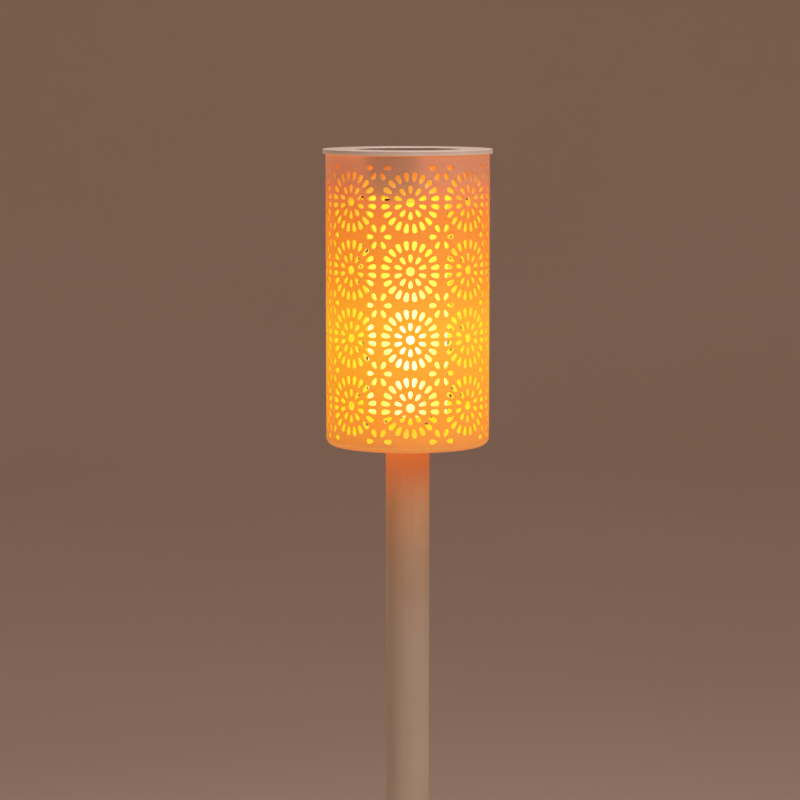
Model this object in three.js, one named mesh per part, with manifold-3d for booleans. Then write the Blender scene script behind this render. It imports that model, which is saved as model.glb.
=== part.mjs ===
// A solar garden torch: a perforated plastic shade on a two-piece pole with a ground spike.
// The solar head, with its battery, switch and LED core in a frosted tube, hangs in the shade by
// its rim and lifts out. Sizes are in millimetres. +Z is up, and the origin is on the axis at
// ground level, under the spike's collar. The front of the pattern faces -Y.
import * as THREE from 'three';
import { mergeVertices } from 'three/addons/utils/BufferGeometryUtils.js';
import Module from 'manifold-3d';

const wasm = await Module();
wasm.setup();

// Clearances
const SEAT = 0.3; // between two pieces that rest on each other
const SLIDE = 0.5; // round what slides or lifts out

// Pole and spike
const POLE_OD = 22.3;
const POLE_WALL = 1.4;
const TUBE_LENGTH = 230;
const PLUG_LENGTH = 32; // how far a plug reaches into a tube
const PLUG_WALL = 1.8;
const JOIN_RING = 2; // the coupler's ring, which shows between the tubes
const COLLAR_D = 34;
const COLLAR_T = 3;
const SPIKE_DEPTH = 150;
const SPIKE_WIDTH = 19;
const SPIKE_RIB = 2.8;
const SPIKE_SHOULDER = 30; // the straight stretch above the taper
const SPIKE_TIP = 2.4;

// Shade and its pattern of rosettes
const SHADE_OD = 83;
const SHADE_HEIGHT = 147.4;
const SHADE_WALL = 2.4;
const SHADE_FLOOR = 2;
const SHADE_CORNER = 3.7;
const COLUMNS = 8;
const ROWS = 4;
const ROW_PITCH = 33.95;
const LOWEST_ROW = 22.96; // the lowest rosettes' centre over the shade's underside
const EYE_D = 4.42; // the hole in the middle of a rosette

// Cap and solar panel
const RIM_OVERHANG = 1.5;
const RIM_T = 2.4;
const RIM_EDGE = 0.5;
const SKIRT_DEPTH = 3;
const SKIRT_WALL = 2;
const PANEL_D = 53;
const PANEL_T = 1.9;
const PANEL_RECESS = 0.1;
const SEAL_T = 0.5;
const SEAL_BAND = 4;
const POCKET_WALL = 1.6;
const POCKET_FLOOR = 1;
const LEAD_HOLE_D = 10; // the leads' way through the pocket and the housing's floor
const SOLDER_BACK = 2.5; // from the panel's middle to a lead

// Module housing
const HOUSING_WALL = 1.8;
const GASKET_T = 1.3;
const GASKET_BAND = 1.4;
const POST_D = 7;
const POST_CIRCLE_R = 31.5;
const POST_FIRST = THREE.MathUtils.degToRad(12);
const POST_COUNT = 3;
const BOSS_D = 8.5;
const BOSS_DROP = 2;
const SCREW_D = 2.8;
const SCREW_LENGTH = 14;
const SCREW_HEAD_D = 5.6;
const SCREW_HEAD_H = 2.2;
const SCREW_SLOT = 0.8;
const SOCKET_DEPTH = 5; // the ring that holds the frosted tube
const SOCKET_WALL = 1.6;

// Battery, a standard AA cell, lying across the housing
const CELL_D = 14.5;
const CELL_LENGTH = 49.4;
const CELL_HEADROOM = 0.9;
const NUB_D = 5.4;
const NUB_H = 1.1;
const CELL_OFFSET = 16.5; // from the torch's axis to the cell's
const BAY_TURN = THREE.MathUtils.degToRad(145); // the cell's direction from +X
const SPRING_LENGTH = 3.6;
const SPRING_WIRE = 0.6;
const SPRING_TURNS = 2.5;
const SPRING_D = 8;
const CONTACT_SIDE = 8;
const CONTACT_T = 0.5;
const BAY_END_T = 1.2;
const BAY_END_W = 9;
const BAY_END_H = 11;

// Circuit board and switch, on the other side of the housing
const BOARD_W = 30;
const BOARD_D = 26;
const BOARD_T = 1.2;
const BOARD_Y = -18;
const BOARD_RIB = 1.6;
const CHIP = [6, 5, 1.6];
const COIL_D = 5.5;
const COIL_H = 4;
const SWITCH_BODY = [9, 4.6, 3.4];
const SWITCH_Y = -28;
const SWITCH_SKIN = 0.8; // the metal over the slider
const KNOB_TRAVEL = 2.5;
const KNOB_SIDE = 1.8;
const KNOB_FOOT = [3.2, 2.6, 1.4];
const KNOB_DROP = 2; // how far the knob shows under the housing

// Frosted tube and LED core
const TUBE_OD = 40;
const TUBE_WALL = 1.2;
const TUBE_FOOT = 16; // the frosted tube's cap over the shade's underside
const END_CAP_T = 1.5;
const END_PLUG_H = 3;
const END_PLUG_WALL = 2;
const CORE_OD = 20;
const CORE_WALL = 1.6;
const CORE_FOOT = 28;
const CORE_FLANGE_D = 27;
const CORE_FLANGE_T = 1.5;
const CORE_WINDOW = [7, 6];
const SHEET_T = 0.5;
const SHEET_FOOT = 34;
const SHEET_LENGTH = 84;
const SHEET_SEAM = THREE.MathUtils.degToRad(14);
const LED_SIDE = 5;
const LED_H = 1.6;
const LED_COLUMNS = 4;
const LED_ROWS = 3;
const LED_PITCH = 24;
const LED_LOWEST = 46;

const LEAD_D = 1.2;
const ROUND = 48; // sides on the large round pieces
const MEDIUM = 32;
const SMALL = 16;

// Every height comes from these, stacked up from the ground.
const poleR = POLE_OD / 2;
const boreR = poleR - POLE_WALL;
const plugR = boreR - SEAT;
const lowerTubeFoot = COLLAR_T + SEAT;
const couplerRing = lowerTubeFoot + TUBE_LENGTH + SEAT;
const upperTubeFoot = couplerRing + JOIN_RING + SEAT;
const shadeFoot = upperTubeFoot + TUBE_LENGTH + SEAT;

// Heights from here on are over the shade's underside.
const shadeR = SHADE_OD / 2;
const shadeBoreR = shadeR - SHADE_WALL;
const rimUnder = SHADE_HEIGHT + SEAT;
const rimTop = rimUnder + RIM_T;
const rimR = shadeR + RIM_OVERHANG;
const panelTop = rimTop - PANEL_RECESS;
const sealTop = panelTop - PANEL_T - SEAT;
const pocketTop = sealTop - SEAL_T - SEAT;
const pocketUnder = pocketTop - POCKET_FLOOR;
const pocketR = PANEL_D / 2 + SLIDE;
const skirtR = shadeBoreR - SLIDE;
const skirtFoot = rimUnder - SKIRT_DEPTH;
const gasketTop = skirtFoot - SEAT;
const housingTop = gasketTop - GASKET_T - SEAT;
const cellAxis = pocketUnder - CELL_HEADROOM - CELL_D / 2;
const floorTop = cellAxis - CELL_D / 2 - SEAT;
const floorUnder = floorTop - HOUSING_WALL;
const housingBoreR = skirtR - HOUSING_WALL;
const bossUnder = floorUnder - BOSS_DROP;
const switchTop = floorTop + SEAT + SWITCH_BODY[2];
const boardUnder = switchTop + SEAT;
const boardTop = boardUnder + BOARD_T;
const tubeR = TUBE_OD / 2;
const tubeBoreR = tubeR - TUBE_WALL;
const tubeTop = floorUnder - SEAT;
const coreR = CORE_OD / 2;
const coreBoreR = coreR - CORE_WALL;
const sheetR = coreR + SEAT;
const sheetTop = SHEET_FOOT + SHEET_LENGTH;
const leadHoleR = LEAD_HOLE_D / 2;

const ivory = plastic(0xeee0cc, 0.5);
const poleIvory = plastic(0xeae0d0, 0.55);
const housingWhite = plastic(0xe9e4da, 0.6);
const frosted = plastic(0xfff1d2, 0.7);
const coreWhite = plastic(0xf2efe8, 0.6);
const rubber = plastic(0x2b2b2b, 0.9);
const foam = plastic(0x3a3a3c, 0.95);
const cells = plastic(0x161c2c, 0.2);
const boardGreen = plastic(0x1f5a3a, 0.5);
const sheetWhite = plastic(0xf4f1e6, 0.6);
const ledPlastic = plastic(0xffd76a, 0.4);
const moulding = plastic(0x1c1c1e, 0.5);
const sleeve = plastic(0x3f8f4a, 0.4);
const redLead = plastic(0xb02318, 0.5);
const blackLead = plastic(0x19191a, 0.5);
const blackSteel = metal(0x26262a, 0.45);
const nickel = metal(0xb9b6ad, 0.3);

const torch = new THREE.Group();
const head = new THREE.Group();
head.position.z = shadeFoot;
torch.add(head);
// The battery bay's own directions: x along the cell, y towards the cell's side.
const bay = new THREE.Group();
bay.rotation.z = BAY_TURN;
head.add(bay);

makeStand();
makeCap();
makeHousing();
makeScrews();
makeBattery();
makeBoard();
makeSwitch();
makeLedCore();
makeFrostedTube();
makeLeads();

// The spike, both tubes, the coupler between them and the shade on top.
function makeStand() {
  const plug = turned([
    [plugR - PLUG_WALL, 0],
    [poleR, 0],
    [poleR, JOIN_RING],
    [plugR, JOIN_RING],
    [plugR, JOIN_RING + PLUG_LENGTH],
    [plugR - PLUG_WALL, JOIN_RING + PLUG_LENGTH],
  ], MEDIUM);
  const lowerPlug = tubeSolid(plugR, plugR - PLUG_WALL, -PLUG_LENGTH, JOIN_RING, MEDIUM);
  add(torch, 'pole_coupler', plug.add(lowerPlug), poleIvory, [0, 0, couplerRing]);

  const tube = tubeSolid(poleR, boreR, 0, TUBE_LENGTH, MEDIUM);
  add(torch, 'pole_lower_tube', tube, poleIvory, [0, 0, lowerTubeFoot]);
  add(torch, 'pole_upper_tube', tube, poleIvory, [0, 0, upperTubeFoot]);
  add(torch, 'ground_spike', spikeSolid(), poleIvory);
  add(head, 'shade', shadeSolid(), ivory);
}

// Four tapered ribs under a round collar, with a hollow plug that goes up into the lower tube.
function spikeSolid() {
  const half = SPIKE_WIDTH / 2;
  const blade = new THREE.Shape([
    new THREE.Vector2(-half, 0),
    new THREE.Vector2(-half, -SPIKE_SHOULDER),
    new THREE.Vector2(-SPIKE_TIP / 2, -SPIKE_DEPTH),
    new THREE.Vector2(SPIKE_TIP / 2, -SPIKE_DEPTH),
    new THREE.Vector2(half, -SPIKE_SHOULDER),
    new THREE.Vector2(half, 0),
    new THREE.Vector2(half, COLLAR_T / 2),
    new THREE.Vector2(-half, COLLAR_T / 2),
  ]);
  const rib = new THREE.ExtrudeGeometry(blade, { depth: SPIKE_RIB, bevelEnabled: false });
  rib.translate(0, 0, -SPIKE_RIB / 2);
  rib.rotateX(Math.PI / 2);
  const otherRib = rib.clone().rotateZ(Math.PI / 2);
  const collar = turned([
    [0, 0],
    [COLLAR_D / 2, 0],
    [COLLAR_D / 2, COLLAR_T],
    [plugR, COLLAR_T],
    [plugR, COLLAR_T + PLUG_LENGTH],
    [plugR - PLUG_WALL, COLLAR_T + PLUG_LENGTH],
    [plugR - PLUG_WALL, COLLAR_T],
    [0, COLLAR_T],
  ], MEDIUM);
  return collar.add(solid(rib)).add(solid(otherRib));
}

// A cup with a closed floor, a rounded lower edge and a hollow spigot for the upper tube.
// The rosettes' middle holes go through each pair of opposite columns at once.
function shadeSolid() {
  const spigotBoreR = plugR - PLUG_WALL;
  const innerCorner = SHADE_CORNER - SHADE_WALL;
  const cup = turned([
    [0, 0],
    [spigotBoreR, 0],
    [spigotBoreR, -PLUG_LENGTH],
    [plugR, -PLUG_LENGTH],
    [plugR, 0],
    ...quarter(shadeR - SHADE_CORNER, SHADE_CORNER, SHADE_CORNER),
    [shadeR, SHADE_HEIGHT],
    [shadeBoreR, SHADE_HEIGHT],
    ...quarter(shadeBoreR - innerCorner, SHADE_FLOOR + innerCorner, innerCorner).reverse(),
    [0, SHADE_FLOOR],
  ], ROUND);
  let pierced = cup;
  for (let row = 0; row < ROWS; row += 1) {
    for (let column = 0; column < COLUMNS / 2; column += 1) {
      const drill = new THREE.CylinderGeometry(EYE_D / 2, EYE_D / 2, SHADE_OD + 2, 8);
      drill.rotateZ((column * 2 * Math.PI) / COLUMNS);
      drill.translate(0, 0, LOWEST_ROW + row * ROW_PITCH);
      pierced = pierced.subtract(solid(drill));
    }
  }
  return pierced;
}

// The cap's disc carries the panel in a pocket, with a skirt and three screw posts under it.
function makeCap() {
  let cap = turned([
    [leadHoleR, pocketUnder],
    [pocketR + POCKET_WALL, pocketUnder],
    [pocketR + POCKET_WALL, rimUnder],
    [skirtR - SKIRT_WALL, rimUnder],
    [skirtR - SKIRT_WALL, skirtFoot],
    [skirtR, skirtFoot],
    [skirtR, rimUnder],
    [rimR - RIM_EDGE, rimUnder],
    [rimR, rimUnder + RIM_EDGE],
    [rimR, rimTop - RIM_EDGE],
    [rimR - RIM_EDGE, rimTop],
    [pocketR, rimTop],
    [pocketR, pocketTop],
    [leadHoleR, pocketTop],
  ], ROUND);
  const postFoot = floorTop + SEAT;
  const pilotR = SCREW_D / 2 + SEAT;
  const pilotTop = bossUnder + SCREW_LENGTH + SEAT;
  atPosts((x, y) => {
    cap = cap.add(rodSolid(POST_D / 2, postFoot, rimUnder + RIM_T / 2, SMALL, x, y));
    cap = cap.subtract(rodSolid(pilotR, postFoot - 1, pilotTop, SMALL, x, y));
  });
  add(head, 'cap', cap, ivory);

  const panelR = PANEL_D / 2;
  add(head, 'solar_panel', rodSolid(panelR, panelTop - PANEL_T, panelTop, ROUND), cells);
  const seal = tubeSolid(panelR - 1, panelR - 1 - SEAL_BAND, sealTop - SEAL_T, sealTop, ROUND);
  add(head, 'panel_seal', seal, foam);
}

// The housing is a cup under the cap, with the bay's end walls and the board's ribs inside, and
// screw bosses and the frosted tube's socket underneath. A gasket lies on its edge.
function makeHousing() {
  let cup = turned([
    [leadHoleR, floorUnder],
    [skirtR, floorUnder],
    [skirtR, housingTop],
    [housingBoreR, housingTop],
    [housingBoreR, floorTop],
    [leadHoleR, floorTop],
  ], ROUND);
  const socketR = tubeR + SEAT;
  const socket = [socketR + SOCKET_WALL, socketR, floorUnder - SOCKET_DEPTH, floorTop - 1];
  cup = cup.add(tubeSolid(...socket, ROUND));
  atPosts((x, y) => {
    cup = cup.add(rodSolid(BOSS_D / 2, bossUnder, floorTop, SMALL, x, y));
    cup = cup.subtract(rodSolid(SCREW_D / 2 + SEAT, bossUnder - 1, floorTop + 1, SMALL, x, y));
  });

  const fittings = [];
  const bayHalf = bayHalfLength();
  for (const side of [-1, 1]) {
    const x = side * (bayHalf + BAY_END_T / 2);
    const wallSize = [BAY_END_T, BAY_END_W, BAY_END_H + 1];
    fittings.push(block(wallSize, [x, CELL_OFFSET, floorTop - 1 + wallSize[2] / 2]));
    const ribHeight = boardUnder - SEAT - floorTop + 1;
    const ribX = side * (BOARD_W / 2 - BOARD_RIB);
    const ribSize = [BOARD_RIB, BOARD_D / 2, ribHeight];
    fittings.push(block(ribSize, [ribX, BOARD_Y + 2, floorTop - 1 + ribHeight / 2]));
  }
  for (const fitting of fittings) {
    cup = cup.add(solid(fitting.rotateZ(BAY_TURN)));
  }
  const slotSize = [KNOB_SIDE + KNOB_TRAVEL + 2 * SLIDE, KNOB_SIDE + 2 * SLIDE, HOUSING_WALL * 3];
  const slot = block(slotSize, [KNOB_TRAVEL / 2, SWITCH_Y, floorTop - HOUSING_WALL / 2]);
  cup = cup.subtract(solid(slot.rotateZ(BAY_TURN)));
  add(head, 'module_housing', cup, housingWhite);

  const gasketR = skirtR - SEAT;
  const gasket = tubeSolid(gasketR, gasketR - GASKET_BAND, gasketTop - GASKET_T, gasketTop, ROUND);
  add(head, 'housing_gasket', gasket, rubber);
}

// Three self-tapping screws go up through the housing's bosses into the cap's posts.
function makeScrews() {
  const headTop = bossUnder - SEAT;
  const headFoot = headTop - SCREW_HEAD_H;
  let count = 0;
  atPosts((x, y) => {
    let screw = turned([
      [0, headFoot],
      [SCREW_HEAD_D * 0.3, headFoot],
      [SCREW_HEAD_D / 2, headFoot + SCREW_HEAD_H / 2],
      [SCREW_HEAD_D / 2, headTop],
      [SCREW_D / 2, headTop],
      [SCREW_D / 2, headTop + SCREW_LENGTH - SCREW_D / 2],
      [0, headTop + SCREW_LENGTH],
    ], SMALL);
    for (const turn of [0, Math.PI / 2]) {
      const size = [SCREW_HEAD_D * 0.6, SCREW_SLOT, SCREW_HEAD_H];
      screw = screw.subtract(solid(block(size, [0, 0, headFoot]).rotateZ(turn)));
    }
    count += 1;
    add(head, `housing_screw_${count}`, screw, blackSteel, [x, y, 0]);
  });
}

// Half the room between the bay's end walls: a cell, its spring and both contact plates.
function bayHalfLength() {
  return (CELL_LENGTH + NUB_H + SPRING_LENGTH + 2 * CONTACT_T + 4 * SEAT) / 2;
}

// The cell lies along the bay, with its nub at +x and the spring at -x.
function makeBattery() {
  const half = bayHalfLength();
  const cellFoot = -half + CONTACT_T + SPRING_LENGTH + 3 * SEAT;
  const cell = turned([
    [0, 0],
    [CELL_D / 2 - 0.6, 0],
    [CELL_D / 2, 0.6],
    [CELL_D / 2, CELL_LENGTH - 0.6],
    [CELL_D / 2 - 0.6, CELL_LENGTH],
    [NUB_D / 2, CELL_LENGTH],
    [NUB_D / 2, CELL_LENGTH + NUB_H],
    [0, CELL_LENGTH + NUB_H],
  ], MEDIUM);
  const along = [0, Math.PI / 2, 0];
  add(bay, 'battery_cell', cell, sleeve, [cellFoot, CELL_OFFSET, cellAxis], along);

  const plateX = half - SEAT / 2 - CONTACT_T / 2;
  for (const [name, side] of [['battery_contact_minus', -1], ['battery_contact_plus', 1]]) {
    const plate = block([CONTACT_T, CONTACT_SIDE, CONTACT_SIDE], [0, 0, 0]);
    add(bay, name, solid(plate), nickel, [side * plateX, CELL_OFFSET, cellAxis]);
  }

  const coilPoints = [];
  const steps = Math.round(SPRING_TURNS * 12);
  for (let i = 0; i <= steps; i += 1) {
    const angle = (i / 12) * 2 * Math.PI;
    const radius = ((SPRING_D - SPRING_WIRE) / 2) * (1 - (0.4 * i) / steps);
    const rise = SPRING_WIRE / 2 + ((SPRING_LENGTH - 2 * SPRING_WIRE) * i) / steps;
    coilPoints.push([rise, radius * Math.cos(angle), radius * Math.sin(angle)]);
  }
  const springX = -half + CONTACT_T + 2 * SEAT;
  const coil = leadSolid(coilPoints, SPRING_WIRE, steps);
  add(bay, 'battery_spring', coil, nickel, [springX, CELL_OFFSET, cellAxis]);
}

// The board stands on two ribs, with the controller and a choke on it.
function makeBoard() {
  const board = block([BOARD_W, BOARD_D, BOARD_T], [0, BOARD_Y, boardUnder + BOARD_T / 2]);
  add(bay, 'circuit_board', solid(board), boardGreen);
  const chip = block(CHIP, [-6, BOARD_Y + 2, boardTop + SEAT + CHIP[2] / 2]);
  add(bay, 'controller_chip', solid(chip), moulding);
  const choke = rodSolid(COIL_D / 2, boardTop + SEAT, boardTop + SEAT + COIL_H, SMALL, 5, BOARD_Y - 2);
  add(bay, 'charging_choke', choke, moulding);
}

// A slide switch hangs under the board, and its knob comes out through the housing's floor.
function makeSwitch() {
  const [width, depth, height] = SWITCH_BODY;
  const bodyFoot = switchTop - height;
  const [footW, footD, footH] = KNOB_FOOT;
  const room = [footW + KNOB_TRAVEL + 2 * SEAT, footD + 2 * SEAT, height - SWITCH_SKIN + 1];
  const cavity = block(room, [KNOB_TRAVEL / 2, 0, bodyFoot - 1 + room[2] / 2]);
  const body = solid(block([width, depth, height], [KNOB_TRAVEL / 2, 0, bodyFoot + height / 2]));
  add(bay, 'switch_body', body.subtract(solid(cavity)), nickel, [0, SWITCH_Y, 0]);

  const footTop = switchTop - SWITCH_SKIN - SEAT;
  const knobFoot = floorUnder - KNOB_DROP;
  const foot = solid(block(KNOB_FOOT, [0, 0, footTop - footH / 2]));
  const stemHeight = footTop - knobFoot;
  const stem = solid(block([KNOB_SIDE, KNOB_SIDE, stemHeight], [0, 0, knobFoot + stemHeight / 2]));
  add(bay, 'switch_knob', foot.add(stem), moulding, [0, SWITCH_Y, 0]);
}

// A hollow core under the housing's floor, with a flexible board of LEDs wrapped round it.
function makeLedCore() {
  const flangeTop = floorUnder - SEAT;
  const windowTop = flangeTop - CORE_FLANGE_T - SEAT;
  const core = turned([
    [0, CORE_FOOT],
    [coreR, CORE_FOOT],
    [coreR, flangeTop - CORE_FLANGE_T],
    [CORE_FLANGE_D / 2, flangeTop - CORE_FLANGE_T],
    [CORE_FLANGE_D / 2, flangeTop],
    [coreBoreR, flangeTop],
    [coreBoreR, CORE_FOOT + CORE_WALL],
    [0, CORE_FOOT + CORE_WALL],
  ], MEDIUM);
  const [windowW, windowH] = CORE_WINDOW;
  const window = block([CORE_OD, windowW, windowH], [coreR, 0, windowTop - windowH / 2]);
  add(bay, 'led_core', core.subtract(solid(window)), coreWhite);

  const wrap = new THREE.Shape();
  wrap.absarc(0, 0, sheetR + SHEET_T, SHEET_SEAM / 2, 2 * Math.PI - SHEET_SEAM / 2, false);
  wrap.absarc(0, 0, sheetR, 2 * Math.PI - SHEET_SEAM / 2, SHEET_SEAM / 2, true);
  const options = { depth: SHEET_LENGTH, bevelEnabled: false, curveSegments: MEDIUM };
  const sheet = new THREE.ExtrudeGeometry(wrap, options);
  sheet.rotateZ(Math.PI);
  add(bay, 'led_sheet', solid(sheet), sheetWhite, [0, 0, SHEET_FOOT]);

  // One column of LEDs faces the torch's front.
  const front = -Math.PI / 2 - BAY_TURN;
  let count = 0;
  for (let row = 0; row < LED_ROWS; row += 1) {
    for (let column = 0; column < LED_COLUMNS; column += 1) {
      const turn = front + (column * 2 * Math.PI) / LED_COLUMNS;
      const out = sheetR + SHEET_T + SEAT + LED_H / 2;
      const led = block([LED_H, LED_SIDE, LED_SIDE], [out, 0, LED_LOWEST + row * LED_PITCH]);
      count += 1;
      add(bay, `led_${count}`, solid(led.rotateZ(turn)), ledPlastic);
    }
  }
}

// The frosted tube pushes into the housing's socket and is closed by an end cap.
function makeFrostedTube() {
  const tubeFoot = TUBE_FOOT + END_CAP_T + SEAT;
  add(head, 'diffuser_tube', tubeSolid(tubeR, tubeBoreR, tubeFoot, tubeTop, ROUND), frosted);
  const plugOuter = tubeBoreR - SEAT;
  const endCap = turned([
    [0, TUBE_FOOT],
    [tubeR - RIM_EDGE, TUBE_FOOT],
    [tubeR, TUBE_FOOT + RIM_EDGE],
    [tubeR, TUBE_FOOT + END_CAP_T],
    [plugOuter, TUBE_FOOT + END_CAP_T],
    [plugOuter, TUBE_FOOT + END_CAP_T + END_PLUG_H],
    [plugOuter - END_PLUG_WALL, TUBE_FOOT + END_CAP_T + END_PLUG_H],
    [plugOuter - END_PLUG_WALL, TUBE_FOOT + END_CAP_T],
    [0, TUBE_FOOT + END_CAP_T],
  ], ROUND);
  add(head, 'diffuser_end_cap', endCap, frosted);
}

// Red and black leads run from the panel, the battery's contacts and the LED board to the
// circuit board. The points are in the bay's directions.
function makeLeads() {
  const overBoard = boardTop + SEAT + LEAD_D / 2;
  const boardEdge = BOARD_Y + BOARD_D / 2;
  const half = bayHalfLength();
  for (const [colour, side, paint] of [['red', 1, redLead], ['black', -1, blackLead]]) {
    const panelPath = [
      [side * SOLDER_BACK, 0, panelTop - PANEL_T - SEAT],
      [side * SOLDER_BACK, -1, pocketUnder - 1],
      [side * 3, boardEdge - 1, pocketUnder - 3],
      [side * 3, boardEdge - 3, overBoard + 2],
      [side * 3, boardEdge - 3.2, overBoard - LEAD_D / 2],
    ];
    add(bay, `panel_lead_${colour}`, leadSolid(panelPath, LEAD_D), paint);

    const plateX = half - SEAT / 2 - CONTACT_T / 2;
    const plateEdge = CELL_OFFSET - CONTACT_SIDE / 2 - SEAT - LEAD_D / 2;
    const cellPath = [
      [side * plateX, plateEdge, cellAxis],
      [side * plateX, plateEdge - 4, cellAxis - 0.5],
      [side * (plateX - 5), plateEdge - 9, overBoard + 2],
      [side * (BOARD_W / 2 - 2), boardEdge + 2, overBoard + 1],
      [side * (BOARD_W / 2 - 4), boardEdge - 2, overBoard],
    ];
    add(bay, `battery_lead_${colour}`, leadSolid(cellPath, LEAD_D), paint);

    const outR = sheetR + SHEET_T / 2;
    const ledPath = [
      [side * 7, boardEdge - 3, overBoard],
      [side * 6, boardEdge + 2, overBoard + 1.5],
      [side * 2.2, 1.5, boardUnder],
      [side * 1.2 + 1, 1, floorUnder - 1],
      [3, side * 1.4, floorUnder - 4.5],
      [coreR - 1, side * 1.8, floorUnder - 6],
      [outR + 0.8, side * 2.2, sheetTop + 3],
      [outR, side * 2.4, sheetTop + SEAT],
    ];
    add(bay, `led_lead_${colour}`, leadSolid(ledPath, LEAD_D, 22), paint);
  }
}

// Calls place(x, y) at each of the screw posts.
function atPosts(place) {
  for (let i = 0; i < POST_COUNT; i += 1) {
    const angle = POST_FIRST + (i * 2 * Math.PI) / POST_COUNT;
    place(POST_CIRCLE_R * Math.cos(angle), POST_CIRCLE_R * Math.sin(angle));
  }
}

// The quarter circle of a cup's lower edge, from its foot round to its side.
function quarter(centreX, centreZ, radius, steps = 4) {
  const points = [];
  for (let i = 0; i <= steps; i += 1) {
    const angle = -Math.PI / 2 + (i * Math.PI) / (2 * steps);
    points.push([centreX + radius * Math.cos(angle), centreZ + radius * Math.sin(angle)]);
  }
  return points;
}

// A solid turned about Z from an outline of [radius, height] points that goes round anticlockwise.
function turned(outline, sides) {
  const points = outline.map(([r, z]) => new THREE.Vector2(r, z));
  if (outline[0][0] > 0) {
    points.push(points[0].clone());
  }
  const geometry = new THREE.LatheGeometry(points, sides);
  geometry.rotateX(Math.PI / 2);
  return solid(geometry);
}

function tubeSolid(outerR, innerR, low, high, sides) {
  return turned([[innerR, low], [outerR, low], [outerR, high], [innerR, high]], sides);
}

function rodSolid(radius, low, high, sides, x = 0, y = 0) {
  const rod = new THREE.CylinderGeometry(radius, radius, high - low, sides);
  rod.rotateX(Math.PI / 2);
  rod.translate(x, y, (low + high) / 2);
  return solid(rod);
}

function block([width, depth, height], [x, y, z]) {
  return new THREE.BoxGeometry(width, depth, height).translate(x, y, z);
}

// A round wire along a smooth curve through the points.
function leadSolid(points, diameter, steps = 14) {
  const path = new THREE.CatmullRomCurve3(points.map((p) => new THREE.Vector3(...p)), false, 'centripetal');
  const section = new THREE.Shape();
  section.absarc(0, 0, diameter / 2, 0, 2 * Math.PI, false);
  const options = { steps, extrudePath: path, curveSegments: 3 };
  return solid(new THREE.ExtrudeGeometry(section, options));
}

// The closed mesh of a geometry, with its shared points merged, as a solid that can be cut.
function solid(geometry) {
  const bare = new THREE.BufferGeometry();
  bare.setAttribute('position', geometry.getAttribute('position'));
  bare.setIndex(geometry.index);
  const merged = mergeVertices(bare, 1e-4);
  const corners = merged.index.array;
  const triVerts = [];
  for (let i = 0; i < corners.length; i += 3) {
    const [a, b, c] = corners.slice(i, i + 3);
    if (a !== b && b !== c && c !== a) {
      triVerts.push(a, b, c);
    }
  }
  const vertProperties = merged.attributes.position.array;
  return new wasm.Manifold(new wasm.Mesh({
    numProp: 3,
    vertProperties,
    triVerts: new Uint32Array(triVerts),
  }));
}

// Puts a solid into a group as a named mesh.
function add(group, name, shape, material, position = [0, 0, 0], rotation = [0, 0, 0]) {
  const { vertProperties, triVerts } = shape.getMesh();
  const geometry = new THREE.BufferGeometry();
  geometry.setAttribute('position', new THREE.BufferAttribute(new Float32Array(vertProperties), 3));
  geometry.setIndex(new THREE.BufferAttribute(new Uint32Array(triVerts), 1));
  geometry.computeVertexNormals();
  const mesh = new THREE.Mesh(geometry, material);
  mesh.name = name;
  mesh.position.set(...position);
  mesh.rotation.set(...rotation);
  group.add(mesh);
}

function plastic(colour, roughness) {
  return new THREE.MeshStandardMaterial({ color: colour, roughness, metalness: 0 });
}

function metal(colour, roughness) {
  return new THREE.MeshStandardMaterial({ color: colour, roughness, metalness: 1 });
}

export default torch;
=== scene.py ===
import math

import bpy
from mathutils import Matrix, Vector


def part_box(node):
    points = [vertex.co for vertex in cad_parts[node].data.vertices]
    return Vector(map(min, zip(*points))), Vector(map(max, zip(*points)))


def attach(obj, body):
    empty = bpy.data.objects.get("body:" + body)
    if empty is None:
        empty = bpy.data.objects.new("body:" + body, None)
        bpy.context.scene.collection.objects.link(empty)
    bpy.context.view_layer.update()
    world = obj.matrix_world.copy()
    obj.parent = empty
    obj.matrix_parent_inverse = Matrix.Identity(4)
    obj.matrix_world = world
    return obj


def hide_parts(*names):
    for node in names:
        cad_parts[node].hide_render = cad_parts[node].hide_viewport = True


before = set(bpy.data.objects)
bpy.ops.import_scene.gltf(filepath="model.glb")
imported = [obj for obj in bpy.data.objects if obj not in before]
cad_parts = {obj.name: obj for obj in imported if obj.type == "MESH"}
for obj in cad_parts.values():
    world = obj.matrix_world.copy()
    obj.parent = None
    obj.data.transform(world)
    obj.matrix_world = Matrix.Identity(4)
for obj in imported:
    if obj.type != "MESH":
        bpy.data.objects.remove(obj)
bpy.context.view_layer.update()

MM = 0.001

# ---------------------------------------------------------------------------------------------
# Ground spike. One coarse polypropylene moulding: four tapered ribs that are pushed into the
# soil, a round collar that stops at the surface, and a hollow plug for the lower tube.


def pick(*pieces):
    """Selects only these pieces and makes the first one active."""
    bpy.ops.object.select_all(action="DESELECT")
    for piece in pieces:
        piece.select_set(True)
    bpy.context.view_layer.objects.active = pieces[0]


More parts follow.
